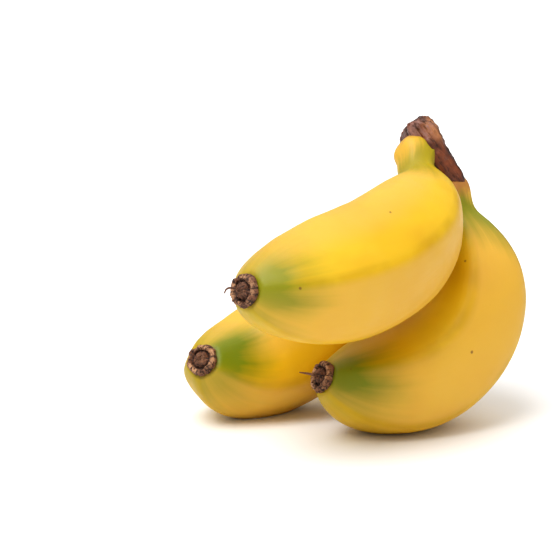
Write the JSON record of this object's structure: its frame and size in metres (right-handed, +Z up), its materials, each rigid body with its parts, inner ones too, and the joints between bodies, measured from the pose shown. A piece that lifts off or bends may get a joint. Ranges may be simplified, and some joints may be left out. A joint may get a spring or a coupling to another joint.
{
  "type": "bunch of bananas",
  "caption": "Bunch of short, plump dessert bananas joined at a dried brown crown, each with a dried blossom end, lying on a table.",
  "frame": {"origin": "on the surface the bunch lies on, at the middle of its box", "axes": "+X to the right across the bunch's longest side, +Y to the back, +Z up; the bananas' tips point to -X and -Y and the crown is at the top right"},
  "size_m": [0.1164, 0.1116, 0.1026],
  "materials": {
    "banana_skin": "satin, smooth ripe peel, greenish near the blossom end",
    "dried_crown": "dry, fibrous, dark brown",
    "dried_blossom": "dry, woody, ringed"
  },
  "bodies": {
    "root": {"crown": "dried_crown", "banana_top": "banana_skin", "banana_front": "banana_skin", "banana_back": "banana_skin", "blossom_end_top": "dried_blossom", "blossom_end_front": "dried_blossom", "blossom_end_back": "dried_blossom"}
  },
  "joints": []
}
